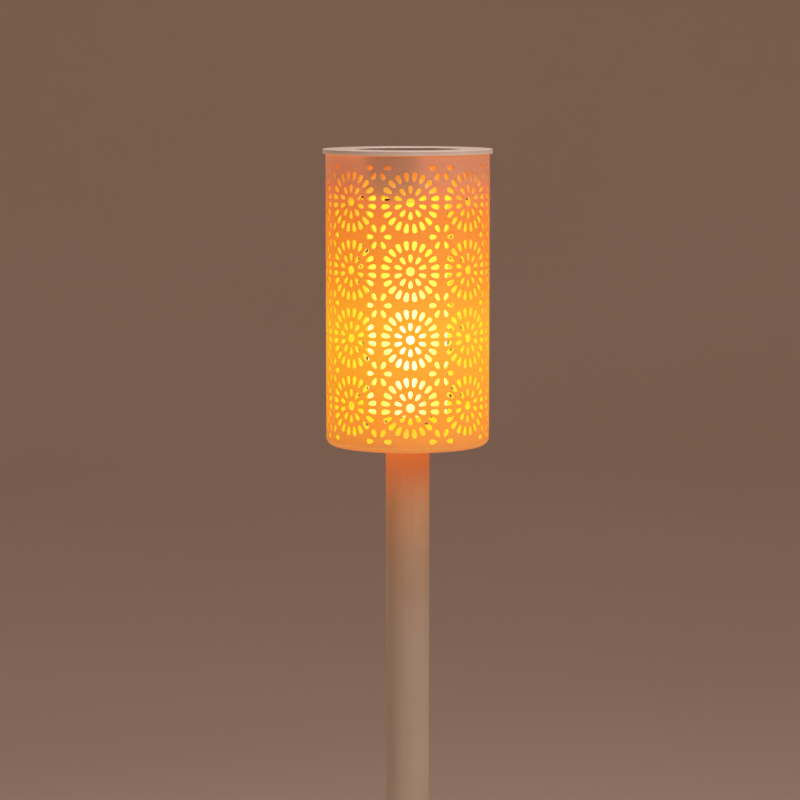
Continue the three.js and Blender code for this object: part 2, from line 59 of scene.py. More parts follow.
def rounded(corners, arc_steps=3):
    """The points of an outline whose (x, y, radius) corners are rounded by arcs."""
    points = []
    for i, (x, y, radius) in enumerate(corners):
        here = Vector((x, y))
        if not radius:
            points.append(here)
            continue
        back = (Vector(corners[i - 1][:2]) - here).normalized()
        on = (Vector(corners[(i + 1) % len(corners)][:2]) - here).normalized()
        half = back.angle(on) / 2
        centre = here + (back + on).normalized() * radius / math.sin(half)
        start = here + back * radius / math.tan(half) - centre
        end = here + on * radius / math.tan(half) - centre
        sweep = math.atan2(start.x * end.y - start.y * end.x, start.dot(end))
        for step in range(arc_steps + 1):
            turn = sweep * step / arc_steps
            points.append(centre + Vector((
                start.x * math.cos(turn) - start.y * math.sin(turn),
                start.x * math.sin(turn) + start.y * math.cos(turn),
            )))
    return points


def turned(name, outline, sides=96, closed=True):
    """A new piece: an outline of (radius, height) points spun round the torch's axis."""
    mesh = bpy.data.meshes.new(name)
    count = len(outline)
    edges = [(i, (i + 1) % count) for i in range(count if closed else count - 1)]
    mesh.from_pydata([(r, 0, z) for r, z in outline], edges, [])
    piece = bpy.data.objects.new(name, mesh)
    bpy.context.scene.collection.objects.link(piece)
    pick(piece)
    bpy.ops.object.mode_set(mode="EDIT")
    bpy.ops.mesh.select_all(action="SELECT")
    bpy.ops.mesh.spin(steps=sides, angle=2 * math.pi, center=(0, 0, 0), axis=(0, 0, 1))
    bpy.ops.mesh.select_all(action="SELECT")
    bpy.ops.mesh.remove_doubles(threshold=1e-6)
    bpy.ops.mesh.normals_make_consistent(inside=False)
    bpy.ops.object.mode_set(mode="OBJECT")
    return piece


def carved(piece, tool, operation):
    """Joins a tool piece to the piece, or cuts it out, and removes the tool."""
    modifier = piece.modifiers.new("carve", "BOOLEAN")
    modifier.operation = operation
    modifier.solver = "EXACT"
    modifier.object = tool
    pick(piece)
    bpy.ops.object.modifier_apply(modifier=modifier.name)
    bpy.data.objects.remove(tool)


def softened(piece, width, segments=2, angle=40):
    """Rounds the sharp edges, and drops the faces that the rounding leaves without an area."""
    modifier = piece.modifiers.new("edges", "BEVEL")
    modifier.width = width
    modifier.segments = segments
    modifier.limit_method = "ANGLE"
    modifier.angle_limit = math.radians(angle)
    pick(piece)
    bpy.ops.object.modifier_apply(modifier=modifier.name)
    bpy.ops.object.mode_set(mode="EDIT")
    bpy.ops.mesh.select_all(action="SELECT")
    bpy.ops.mesh.dissolve_degenerate(threshold=0.003 * MM)
    bpy.ops.object.mode_set(mode="OBJECT")


def linear(hex_colour):
    """An sRGB hex colour as linear red, green, blue and alpha."""
    values = [int(hex_colour[i:i + 2], 16) / 255 for i in (0, 2, 4)]
    return [v / 12.92 if v <= 0.04045 else ((v + 0.055) / 1.055) ** 2.4 for v in values] + [1]


def add_node(material, kind, links=None, stops=(), **settings):
    """Adds a node. Keys of links are its inputs, stops its colour ramp, settings all the rest."""
    node = material.node_tree.nodes.new("ShaderNode" + kind)
    for i, (position, hex_colour) in enumerate(stops):
        ramp = node.color_ramp.elements
        stop = ramp[i] if i < 2 else ramp.new(position)
        stop.position = position
        stop.color = linear(hex_colour)
    for key, value in settings.items():
        name = key.replace("_", " ")
        if hasattr(node, key):
            setattr(node, key, value)
        elif name in node.inputs:
            node.inputs[name].default_value = value
        else:
            node.inputs[int(key[1:])].default_value = value
    for key, socket in (links or {}).items():
        material.node_tree.links.new(socket, node.inputs[key])
    return node


def new_material(name):
    """An empty material with its output node."""
    material = bpy.data.materials.new(name)
    material.use_nodes = True
    material.node_tree.nodes.clear()
    output = add_node(material, "OutputMaterial")
    return material, output.inputs["Surface"]


def moulded_plastic(name, light, dark, roughness, grain_mm, depth_mm):
    """Plastic or rubber from a mould: a faint cloudy colour change, and the mould's fine grain."""
    material, surface = new_material(name)
    place = add_node(material, "TexCoord").outputs["Object"]
    cloud = add_node(material, "TexNoise", {"Vector": place}, Scale=1 / (18 * MM), Detail=2)
    ramp = add_node(material, "ValToRGB", {"Fac": cloud.outputs["Fac"]},
                    stops=[(0.3, dark), (0.7, light)])
    grain = add_node(material, "TexNoise", {"Vector": place}, Scale=1 / (grain_mm * MM), Detail=3)
    bump = add_node(material, "Bump", {"Height": grain.outputs["Fac"]},
                    Distance=depth_mm * MM, Strength=0.5)
    worn = add_node(material, "MapRange", {"Value": cloud.outputs["Fac"]},
                    To_Min=roughness - 0.06, To_Max=roughness + 0.06)
    links = {
        "Base Color": ramp.outputs["Color"],
        "Roughness": worn.outputs["Result"],
        "Normal": bump.outputs["Normal"],
    }
    body = add_node(material, "BsdfPrincipled", links, IOR=1.49)
    material.node_tree.links.new(body.outputs["BSDF"], surface)
    return material


def settle(piece, body, material, nodes=()):
    """Paints a finished piece, hangs it on its body and hides the CAD nodes it stands for."""
    piece.data.materials.clear()
    piece.data.materials.append(material)
    pick(piece)
    bpy.ops.object.shade_smooth_by_angle(angle=math.radians(34))
    shading = piece.modifiers.new("shading", "WEIGHTED_NORMAL")
    shading.weight = 100
    shading.keep_sharp = True
    bpy.ops.object.modifier_apply(modifier=shading.name)
    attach(piece, body)
    if nodes:
        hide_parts(*nodes)


fit = 0.3 * MM  # the gap between pieces that meet
spike_low, spike_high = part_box("ground_spike")
tube_low, tube_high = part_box("pole_lower_tube")
pole_r = tube_high.x
collar_r = spike_high.x
collar_t = tube_low.z - fit
tube_wall = 1.4 * MM
plug_r = pole_r - tube_wall - fit
plug_wall = 1.8 * MM
rib_half = 9.5 * MM
rib_t = 2.8 * MM
shoulder = -30 * MM
tip_half = 1.4 * MM
tip_t = 1.1 * MM

spike = turned("ground_spike_moulding", rounded([
    (0, 0, 0),
    (collar_r, 0, 0.8 * MM),
    (collar_r, collar_t, 0.8 * MM),
    (plug_r, collar_t, 0),
    (plug_r, spike_high.z, 0.6 * MM),
    (plug_r - plug_wall, spike_high.z, 0.3 * MM),
    (plug_r - plug_wall, collar_t, 0),
    (0, collar_t, 0),
]), closed=False)

# Two opposite ribs are one tapered blade, which is copied and turned for the other two.
bpy.ops.mesh.primitive_cube_add(size=1, location=(0, 0, 0))
blade = bpy.context.object
for corner in blade.data.vertices:
    corner.co.x *= 2 * rib_half
    corner.co.y *= rib_t
    corner.co.z = collar_t / 2 if corner.co.z > 0 else shoulder
pick(blade)
bpy.ops.object.mode_set(mode="EDIT")
bpy.ops.mesh.select_all(action="DESELECT")
bpy.ops.object.mode_set(mode="OBJECT")
for face in blade.data.polygons:
    face.select = face.normal.z < -0.9
bpy.ops.object.mode_set(mode="EDIT")
drop = spike_low.z - shoulder
bpy.ops.mesh.extrude_region_move(TRANSFORM_OT_translate={"value": (0, 0, drop)})
narrowing = (tip_half / rib_half, tip_t / rib_t, 1)
bpy.ops.transform.resize(value=narrowing, center_override=(0, 0, 0))
bpy.ops.object.mode_set(mode="OBJECT")
crossing = bpy.data.objects.new("crossing_blade", blade.data.copy())
bpy.context.scene.collection.objects.link(crossing)
crossing.rotation_euler.z = math.pi / 2
pick(crossing)
bpy.ops.object.transform_apply(location=False, rotation=True, scale=False)
carved(spike, blade, "UNION")
carved(spike, crossing, "UNION")
softened(spike, 0.35 * MM)

# Polypropylene, ivory like the pole, with a coarse spark-eroded skin that scuffs dull.
spike_plastic = moulded_plastic("ivory_polypropylene_coarse", "d9cdbb", "c9bca8", 0.62, 0.9, 0.06)
settle(spike, "stand", spike_plastic, ["ground_spike"])

# ---------------------------------------------------------------------------------------------
# Pole. Two equal lengths of extruded ivory tube, cut square. The lower one is pushed on the
# spike's plug and the upper one on the shade's spigot, so they come apart to be packed.


glow_reach = 200 * MM


def pole_plastic(name, glow_top=None):
    """Extruded plastic with die lines; with glow_top, a painted glow and tint fading down from there.
    """
    material, surface = new_material(name)
    place = add_node(material, "TexCoord").outputs["Object"]
    along = add_node(material, "Mapping", {"Vector": place}, Scale=(1, 1, 0.02))
    lines = add_node(material, "TexNoise", {"Vector": along.outputs["Vector"]},
                     Scale=1 / (1.6 * MM), Detail=4)
    cloud = add_node(material, "TexNoise", {"Vector": place}, Scale=1 / (35 * MM), Detail=3)
    ramp = add_node(material, "ValToRGB", {"Fac": cloud.outputs["Fac"]},
                    stops=[(0.3, "dacdbc"), (0.7, "e5d9c9")])
    streak = add_node(material, "MapRange", {"Value": lines.outputs["Fac"]}, To_Min=0.92, To_Max=1.04)
    tone = add_node(material, "VectorMath", {0: ramp.outputs["Color"], 1: streak.outputs["Result"]},
                    operation="MULTIPLY")
    bump = add_node(material, "Bump", {"Height": lines.outputs["Fac"]}, Distance=0.04 * MM,
                    Strength=0.4)
    gloss = add_node(material, "MapRange", {"Value": lines.outputs["Fac"]}, To_Min=0.44, To_Max=0.56)
    body = add_node(material, "BsdfPrincipled", {
        "Base Color": tone.outputs["Vector"],
        "Roughness": gloss.outputs["Result"],
        "Normal": bump.outputs["Normal"],
    }, IOR=1.49)
    if glow_top:
        # Painted light: an orange emission and a warmer base colour near the top, fading down over
        # glow_reach.
        height = add_node(material, "SeparateXYZ", {"Vector": place}).outputs["Z"]
        reach = add_node(material, "MapRange", {"Value": height},
                         From_Min=glow_top - glow_reach, From_Max=glow_top)
        painted_lamp_tint = add_node(material, "ValToRGB", {"Fac": reach.outputs["Result"]},
                        stops=[(0.5, "ffffff"), (0.98, "fae4b4")])
        painted_lamp_tinted_tone = add_node(material, "VectorMath", {0: tone.outputs["Vector"], 1: painted_lamp_tint.outputs["Color"]},
                          operation="MULTIPLY")
        material.node_tree.links.new(painted_lamp_tinted_tone.outputs["Vector"], body.inputs["Base Color"])
        glow = add_node(material, "ValToRGB", {"Fac": reach.outputs["Result"]}, stops=[
            (0.0, "000000"), (0.5, "1c0d06"), (0.72, "3a1c10"), (0.85, "642a12"),
            (0.93, "8c300a"), (1.0, "ac3a04"),
        ])
        material.node_tree.links.new(glow.outputs["Color"], body.inputs["Emission Color"])
        body.inputs["Emission Strength"].default_value = 1.0
    material.node_tree.links.new(body.outputs["BSDF"], surface)
    return material


def pole_tube(name, node, material):
    """A square-cut length of tube with its edges just broken."""
    low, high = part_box(node)
    bore_r = high.x - tube_wall
    tube = turned(name, rounded([
        (bore_r, low.z, 0.25 * MM),
        (high.x, low.z, 0.3 * MM),
        (high.x, high.z, 0.3 * MM),
        (bore_r, high.z, 0.25 * MM),
    ], 2))
    settle(tube, "stand", material, [node])


upper_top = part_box("pole_upper_tube")[1].z
# Extruded polypropylene: satin, with fine die lines along it, drawn coarse enough to show. The
# upper tube's copy has a painted glow and warm tint near its top, for the lamp's light down its wall.
plain_tube = pole_plastic("ivory_polypropylene_extruded")
painted_glow_tube = pole_plastic("ivory_polypropylene_extruded_painted_glow", upper_top)
pole_tube("pole_tube_lower", "pole_lower_tube", plain_tube)
pole_tube("pole_tube_upper", "pole_upper_tube", painted_glow_tube)

# ---------------------------------------------------------------------------------------------
# Coupler. A hollow double plug inside the two tubes, with a thin ring between their ends: the
# only part of it that shows. Moulded in the pole's ivory polypropylene, a push fit.

coupler_low, coupler_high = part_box("pole_coupler")
ring_low = tube_high.z + fit
ring_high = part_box("pole_upper_tube")[0].z - fit
coupler = turned("pole_coupler_moulding", rounded([
    (plug_r - plug_wall, coupler_low.z, 0.3 * MM),
    (plug_r, coupler_low.z, 0.6 * MM),
    (plug_r, ring_low, 0),
    (pole_r, ring_low, 0.3 * MM),
    (pole_r, ring_high, 0.3 * MM),
    (plug_r, ring_high, 0),
    (plug_r, coupler_high.z, 0.6 * MM),
    (plug_r - plug_wall, coupler_high.z, 0.3 * MM),
]))
# Polypropylene from a finer mould than the spike's: the same ivory, a little glossier.
coupler_plastic = moulded_plastic("ivory_polypropylene_fine", "e2d7c5", "d5c9b5", 0.5, 0.5, 0.03)
settle(coupler, "stand", coupler_plastic, ["pole_coupler"])

# ---------------------------------------------------------------------------------------------
# Shade. A thin translucent cup moulded in ivory polypropylene, with eight columns of pierced
# rosettes and six-petal flowers between them, a rounded foot and a spigot for the upper tube.

shade_low, shade_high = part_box("shade")
shade_r = shade_high.x
shade_foot = upper_top + fit
wall = 2.4 * MM
floor_t = 2 * MM
foot_radius = 3.7 * MM
hole_edge = 0.2 * MM
columns = 8
rows = 4
row_pitch = 33.95 * MM
lowest_row = shade_foot + 22.96 * MM
strip_width = 2 * math.pi * shade_r / columns
strip_low = shade_foot + foot_radius
strip_high = shade_high.z - 0.4 * MM
bends = 6
eye_r = 2.21 * MM
inner_petal = (4.35, 8.5, 2.3)  # near and far end from the middle, and width, in millimetres
outer_petal = (10.25, 15.25, 2.68)
flower_petal = (2.6, 6.8, 2.56)
circle_handle = 0.5523  # a quarter circle's curve handle, as a share of its radius


def add_petal(curve, x, z, degrees, near, far, width):
    """A petal hole: a teardrop from near to far out from a rosette's middle, round at its far end."""
    turn = math.radians(degrees)
    half = width / 2
    widest = far - half
    round_end = circle_handle * half
    taper = 0.1 * (widest - near)
    spline = curve.splines.new("BEZIER")
    spline.use_cyclic_u = True
    spline.bezier_points.add(3)
    shape = [
        ((near, 0), (near, -0.85 * half), (near, 0.85 * half)),
        ((widest, half), (widest - taper, half), (widest + round_end, half)),
        ((far, 0), (far, round_end), (far, -round_end)),
        ((widest, -half), (widest + round_end, -half), (widest - taper, -half)),
    ]
    for point, places in zip(spline.bezier_points, shape):
        point.handle_left_type = "FREE"
        point.handle_right_type = "FREE"
        turned_places = [
            (x + MM * (a * math.cos(turn) - b * math.sin(turn)),
             z + MM * (a * math.sin(turn) + b * math.cos(turn)), 0)
            for a, b in places
        ]
        point.co, point.handle_left, point.handle_right = turned_places


def add_outline(curve, points):
    """A straight-sided closed outline on the flat strip."""
    spline = curve.splines.new("POLY")
    spline.use_cyclic_u = True
    spline.points.add(len(points) - 1)
    for point, (x, z) in zip(spline.points, points):
        point.co = (x, z, 0, 1)


# One column is drawn flat, with its petals as holes, and given the wall's thickness.
flat = bpy.data.curves.new("shade_column", "CURVE")
flat.dimensions = "2D"
flat.fill_mode = "BOTH"
flat.resolution_u = 3
side = strip_width / 2 + hole_edge
bottom, top = strip_low - hole_edge, strip_high + hole_edge
add_outline(flat, [(-side, bottom), (side, bottom), (side, top), (-side, top)])
for row in range(rows):
    z = lowest_row + row * row_pitch
    add_outline(flat, [(eye_r * math.cos(a), z + eye_r * math.sin(a))
                       for a in (2 * math.pi * k / 16 for k in range(16))])
    for k in range(10):
        add_petal(flat, 0, z, 90 + 36 * k, *inner_petal)
    for k in range(20):
        add_petal(flat, 0, z, 9 + 18 * k, *outer_petal)
for gap in range(rows + 1):
    z = lowest_row + (gap - 0.5) * row_pitch
    for x, turns in ((-strip_width / 2, (-60, 0, 60)), (strip_width / 2, (120, 180, 240))):
        for degrees in turns:
            rises = math.sin(math.radians(degrees))
            if (gap == 0 and rises < -0.1) or (gap == rows and rises > 0.1):
                continue
            add_petal(flat, x, z, degrees, *flower_petal)
flat.extrude = wall / 2 - hole_edge
flat.bevel_depth = hole_edge
flat.bevel_resolution = 0
flat.offset = -hole_edge
shade = bpy.data.objects.new("perforated_shade", flat)
bpy.context.scene.collection.objects.link(shade)
pick(shade)
bpy.ops.object.convert(target="MESH")
shade = bpy.context.object

# The strip's own outer walls go, so that the columns meet edge to edge. It is cut into narrow
# facets, stood up, bent to an eighth of the cylinder, and repeated round the axis.
bpy.ops.object.mode_set(mode="EDIT")
bpy.ops.mesh.select_all(action="SELECT")
bpy.ops.mesh.remove_doubles(threshold=1e-6)
bpy.ops.mesh.select_all(action="DESELECT")
bpy.ops.object.mode_set(mode="OBJECT")
hair = 0.01 * MM
for face in shade.data.polygons:
    x, z = face.center.x, face.center.y
    face.select = abs(x) > strip_width / 2 + hair or not strip_low - hair < z < strip_high + hair
bpy.ops.object.mode_set(mode="EDIT")
bpy.ops.mesh.delete(type="FACE")
for i in range(1, bends):
    bpy.ops.mesh.select_all(action="SELECT")
    cut_x = strip_width * (i / bends - 0.5)
    bpy.ops.mesh.bisect(plane_co=(cut_x, 0, 0), plane_no=(1, 0, 0), threshold=1e-6)
bpy.ops.object.mode_set(mode="OBJECT")
shade.rotation_euler.x = math.pi / 2
shade.location.y = wall / 2
bpy.ops.object.transform_apply(location=True, rotation=True, scale=False)
bend = shade.modifiers.new("roll", "SIMPLE_DEFORM")
bend.deform_method = "BEND"
bend.deform_axis = "Z"
bend.angle = 2 * math.pi / columns
bpy.ops.object.modifier_apply(modifier=bend.name)
shade.location.y = -shade_r
bpy.ops.object.transform_apply(location=True, rotation=False, scale=False)
bpy.ops.object.mode_set(mode="EDIT")
bpy.ops.mesh.select_all(action="SELECT")
bpy.ops.mesh.spin(steps=columns - 1, dupli=True, angle=2 * math.pi * (columns - 1) / columns,
                  center=(0, 0, 0), axis=(0, 0, 1))
bpy.ops.object.mode_set(mode="OBJECT")

# The foot with its spigot, the floor's upper side and the rounded top edge are turned.
bore_r = shade_r - wall
spigot_fillet = 0.5 * MM
foot_skin = turned("shade_foot_skin", rounded([
    (shade_r, strip_low, 0),
    (shade_r, shade_foot, foot_radius - hair),
    (plug_r, shade_foot, spigot_fillet),
    (plug_r, shade_low.z, 0.6 * MM),
    (plug_r - plug_wall, shade_low.z, 0.3 * MM),
    (plug_r - plug_wall, shade_foot, 0),
    (0, shade_foot, 0),
], 5), bends * columns, closed=False)
floor_skin = turned("shade_floor_skin", rounded([
    (0, shade_foot + floor_t, 0),
    (bore_r, shade_foot + floor_t, foot_radius - wall - hair),
    (bore_r, strip_low, 0),
], 5), bends * columns, closed=False)
edge_skin = turned("shade_edge_skin", rounded([
    (shade_r, strip_high, 0),
    (shade_r, shade_high.z, 0.39 * MM),
    (bore_r, shade_high.z, 0.39 * MM),
    (bore_r, strip_high, 0),
], 2), bends * columns, closed=False)
pick(shade, foot_skin, floor_skin, edge_skin)
bpy.ops.object.join()
bpy.ops.object.mode_set(mode="EDIT")
bpy.ops.mesh.select_all(action="SELECT")
bpy.ops.mesh.remove_doubles(threshold=0.004 * MM)
bpy.ops.mesh.normals_make_consistent(inside=False)
bpy.ops.object.mode_set(mode="OBJECT")

# Natural polypropylene tinted ivory: satin outside, and thin enough to pass some of the lamp's light.
# Its glow is painted: amber emission outside, yellow on its inner side and the walls of the holes.
# The housing, and most of all the cell in it, keeps the light off the top: a painted shadow there.
# The side where the cell lies nearest the wall, where the painted shadow falls.
painted_shadow_side = math.radians(-103)


def from_axis(material, place):
    """The way from the torch's axis out to a place, level."""
    flat_place = add_node(material, "VectorMath", {0: place}, operation="MULTIPLY", _1=(1, 1, 0))
    return flat_place.outputs["Vector"]


def height_in_shade(material, place):
    """0 at the shade's underside and 1 at its top edge."""
    z = add_node(material, "SeparateXYZ", {"Vector": place}).outputs["Z"]
    level = add_node(material, "MapRange", {"Value": z}, From_Min=shade_foot, From_Max=shade_high.z)
    return level.outputs["Result"]


def painted_cell_shadow(material, place, darkest):
    """1 all round the axis, but for a soft dip to the darkest where the cell is near the wall: a
    painted shadow.
    """
    outward = add_node(material, "VectorMath", {0: from_axis(material, place)},
                       operation="NORMALIZE")
    facing = add_node(material, "VectorMath", {0: outward.outputs["Vector"]},
                      operation="DOT_PRODUCT", _1=(math.cos(painted_shadow_side), math.sin(painted_shadow_side), 0))
    dip = add_node(material, "MapRange", {"Value": facing.outputs["Value"]},
                   interpolation_type="SMOOTHSTEP", From_Min=math.cos(math.radians(25)),
                   From_Max=1, To_Min=1, To_Max=darkest)
    return dip.outputs["Result"]


shade_plastic, shade_surface = new_material("translucent_ivory_polypropylene")
place = add_node(shade_plastic, "TexCoord").outputs["Object"]
level = height_in_shade(shade_plastic, place)
cloud = add_node(shade_plastic, "TexNoise", {"Vector": place}, Scale=1 / (22 * MM), Detail=3)
mottle = add_node(shade_plastic, "MapRange", {"Value": cloud.outputs["Fac"]},
                  From_Min=0.3, From_Max=0.7, To_Min=0.94, To_Max=1.04)
# Painted light: the base colour is ivory at the foot and top, yellower with less blue over the lit
# middle.
ivory = add_node(shade_plastic, "ValToRGB", {"Fac": level}, stops=[
    (0.0, "e6cdb0"), (0.035, "e6c07c"), (0.8, "e6c07c"), (0.9, "ead7ca"),
])
tone = add_node(shade_plastic, "VectorMath", {0: ivory.outputs["Color"], 1: mottle.outputs["Result"]},
                operation="MULTIPLY")
grain = add_node(shade_plastic, "TexNoise", {"Vector": place}, Scale=1 / (0.6 * MM), Detail=2)
grain_bump = add_node(shade_plastic, "Bump", {"Height": grain.outputs["Fac"]},
                      Distance=0.03 * MM, Strength=0.4)
# Painted glow by height: amber emission for the outer side, yellow for the inner side and holes' walls.
painted_outer_glow = add_node(shade_plastic, "ValToRGB", {"Fac": level}, stops=[
    (0, "9e382c"), (0.1, "bc4516"), (0.3, "bc650a"), (0.42, "bc7307"), (0.58, "b8450a"),
    (0.8, "ad1d12"), (0.89, "992719"), (0.93, "7c3f2b"), (1, "995034"),
])
painted_inner_glow = add_node(shade_plastic, "ValToRGB", {"Fac": level}, stops=[
    (0, "adb014"), (0.12, "adba20"), (0.78, "adb130"), (0.86, "aa8a1e"), (0.95, "904c12"),
])
# Which painted glow a place takes: the outer one on the outer skin and the foot's underside, the inner
# one inside.
radius = add_node(shade_plastic, "VectorMath", {0: from_axis(shade_plastic, place)}, operation="LENGTH")
through_wall = add_node(shade_plastic, "MapRange", {"Value": radius.outputs["Value"]},
                        From_Min=shade_r - 1.1 * MM, From_Max=shade_r - 0.15 * MM)
z = add_node(shade_plastic, "SeparateXYZ", {"Vector": place}).outputs["Z"]
through_floor = add_node(shade_plastic, "MapRange", {"Value": z}, To_Min=1, To_Max=0,
                         From_Min=shade_foot + 1.1 * MM, From_Max=shade_foot + floor_t + 0.4 * MM)
outside = add_node(shade_plastic, "Math", {
    0: through_wall.outputs["Result"],
    1: through_floor.outputs["Result"],
}, operation="ADD", use_clamp=True)
# Painted shadow: the top band of the outer glow is darkened on the cell's side.
glow_with_painted_shadow = add_node(shade_plastic, "MixRGB", {
    "Color1": painted_outer_glow.outputs["Color"],
    "Color2": painted_cell_shadow(shade_plastic, place, 0.3),
    "Fac": add_node(shade_plastic, "MapRange", {"Value": level}, interpolation_type="SMOOTHSTEP",
                    From_Min=0.84, From_Max=0.9).outputs["Result"],
}, blend_type="MULTIPLY")
glow = add_node(shade_plastic, "MixRGB", {
    "Fac": outside.outputs["Value"],
    "Color1": painted_inner_glow.outputs["Color"],
    "Color2": glow_with_painted_shadow.outputs["Color"],
})
skin = add_node(shade_plastic, "BsdfPrincipled", {
    "Base Color": tone.outputs["Vector"],
    "Normal": grain_bump.outputs["Normal"],
    "Emission Color": glow.outputs["Color"],
}, IOR=1.49, Roughness=0.42, Emission_Strength=2.0)
through = add_node(shade_plastic, "BsdfTranslucent", {"Normal": grain_bump.outputs["Normal"]},
                   Color=linear("bcb361"))
mixed = add_node(shade_plastic, "MixShader", {1: skin.outputs["BSDF"], 2: through.outputs["BSDF"]},
                 Fac=0.5)
shade_plastic.node_tree.links.new(mixed.outputs["Shader"], shade_surface)
settle(shade, "stand", shade_plastic, ["shade"])

# ---------------------------------------------------------------------------------------------
# Module housing. A shallow off-white cup under the cap that holds the cell and the board. It
# is moulded with screw bosses, a socket ring for the frosted tube and a slot for the switch.

housing_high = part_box("module_housing")[1]
screw_low, screw_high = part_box("housing_screw_1")
tube_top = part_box("diffuser_tube")[1].z
housing_r = housing_high.x
housing_bore_r = housing_r - 1.8 * MM
floor_under = tube_top + fit
floor_top = floor_under + 1.8 * MM
boss_under = floor_under - 2 * MM
boss_r = 4.25 * MM
screw_hole_r = 1.7 * MM
lead_hole_r = 5 * MM
socket_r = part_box("diffuser_tube")[1].x + fit
socket_foot = floor_under - 5 * MM
socket_wall = 1.6 * MM
bay_turn = math.radians(145)
cell_y = 16.5 * MM
board_y = -18 * MM
switch_y = -28 * MM
end_wall_size = (1.2 * MM, 9 * MM, 12 * MM)
end_wall_x = 29.35 * MM
board_rib_size = (1.6 * MM, 13 * MM, 4.7 * MM)
board_rib_x = 13.4 * MM
knob_slot_size = (5.3 * MM, 2.8 * MM, 6 * MM)
knob_travel = 2.5 * MM


def rod(radius, low, high, x, y, sides=32):
    """An upright cylinder, used to join or cut."""
    bpy.ops.mesh.primitive_cylinder_add(vertices=sides, radius=radius, depth=high - low,
                                        location=(x, y, (low + high) / 2))
    piece = bpy.context.object
    bpy.ops.object.transform_apply(location=True, rotation=False, scale=False)
    return piece


def bay_block(size, centre):
    """A box laid out in the battery bay's directions, used to join or cut."""
    bpy.ops.mesh.primitive_cube_add(size=1, location=(0, 0, 0))
    piece = bpy.context.object
    for corner in piece.data.vertices:
        corner.co = Vector(centre) + Vector(a * b for a, b in zip(corner.co, size))
    piece.rotation_euler.z = bay_turn
    pick(piece)
    bpy.ops.object.transform_apply(location=False, rotation=True, scale=False)
    return piece


post_places = [((low.x + high.x) / 2, (low.y + high.y) / 2)
               for low, high in (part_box(f"housing_screw_{i}") for i in (1, 2, 3))]
housing = turned("housing_moulding", rounded([
    (lead_hole_r, floor_under, 0),
    (socket_r, floor_under, 0.3 * MM),
    (socket_r, socket_foot, 0.5 * MM),
    (socket_r + socket_wall, socket_foot, 0.5 * MM),
    (socket_r + socket_wall, floor_under, 0.4 * MM),
    (housing_r, floor_under, 1.2 * MM),
    (housing_r, housing_high.z, 0.3 * MM),
    (housing_bore_r, housing_high.z, 0.3 * MM),
    (housing_bore_r, floor_top, 0.6 * MM),
    (lead_hole_r, floor_top, 0),
]))
for x, y in post_places:
    carved(housing, rod(boss_r, boss_under, floor_top - 0.5 * MM, x, y), "UNION")
    carved(housing, rod(screw_hole_r, boss_under - MM, floor_top + MM, x, y), "DIFFERENCE")
# The blocks are sunk a millimetre into the floor, so that they join it.
for side in (-1, 1):
    end_wall_z = floor_top - MM + end_wall_size[2] / 2
    end_wall = bay_block(end_wall_size, (side * end_wall_x, cell_y, end_wall_z))
    carved(housing, end_wall, "UNION")
    board_rib_z = floor_top - MM + board_rib_size[2] / 2
    board_rib = bay_block(board_rib_size, (side * board_rib_x, board_y + 2 * MM, board_rib_z))
    carved(housing, board_rib, "UNION")
knob_slot = bay_block(knob_slot_size, (knob_travel / 2, switch_y, floor_under))
carved(housing, knob_slot, "DIFFERENCE")


def painted_glow_housing_plastic():
    """Off-white ABS; a painted orange glow on its wall and socket stands for the lamp's light through
    it.
    """
    material, surface = new_material("off_white_abs_painted_glow")
    place = add_node(material, "TexCoord").outputs["Object"]
    level = height_in_shade(material, place)
    cloud = add_node(material, "TexNoise", {"Vector": place}, Scale=1 / (18 * MM), Detail=2)
    tint = add_node(material, "ValToRGB", {"Fac": cloud.outputs["Fac"]},
                    stops=[(0.3, "dcd3c4"), (0.7, "e8e0d2")])
    grain = add_node(material, "TexNoise", {"Vector": place}, Scale=1 / (0.7 * MM), Detail=3)
    bump = add_node(material, "Bump", {"Height": grain.outputs["Fac"]}, Distance=0.05 * MM,
                    Strength=0.5)
    # Painted glow by height, darkened by the painted shadow on the cell's side.
    painted_wall_glow = add_node(material, "ValToRGB", {"Fac": level}, stops=[
        (0.84, "ffbc28"), (0.875, "ffa01a"), (0.93, "f47c02"), (0.98, "dc5800"),
    ])
    shadow = painted_cell_shadow(material, place, 0.45)
    glow = add_node(material, "VectorMath", {0: painted_wall_glow.outputs["Color"], 1: shadow},
                    operation="MULTIPLY")
    body = add_node(material, "BsdfPrincipled", {
        "Base Color": tint.outputs["Color"],
        "Normal": bump.outputs["Normal"],
        "Emission Color": glow.outputs["Vector"],
    }, IOR=1.53, Roughness=0.55, Emission_Strength=1.0)
    material.node_tree.links.new(body.outputs["BSDF"], surface)
    return material


settle(housing, "solar_head", painted_glow_housing_plastic(), ["module_housing"])

# The gasket is a soft rubber ring that lies on the housing's edge, under the cap's skirt.
gasket_low, gasket_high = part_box("housing_gasket")
gasket_r = gasket_high.x
gasket_bore_r = gasket_r - 1.4 * MM
gasket = turned("gasket_ring", rounded([
    (gasket_bore_r, gasket_low.z, 0.4 * MM),
    (gasket_r, gasket_low.z, 0.5 * MM),
    (gasket_r, gasket_high.z, 0.5 * MM),
    (gasket_bore_r, gasket_high.z, 0.4 * MM),
]))
# Silicone rubber, black and quite dull.
gasket_rubber = moulded_plastic("black_silicone_rubber", "2c2b2a", "222120", 0.85, 0.4, 0.02)
settle(gasket, "solar_head", gasket_rubber, ["housing_gasket"])

# ---------------------------------------------------------------------------------------------
# Cap. A white disc with a rim that rests on the shade's edge. Its pocket holds the solar panel
# level with the light ring, and a skirt underneath centres it in the shade. One moulding.

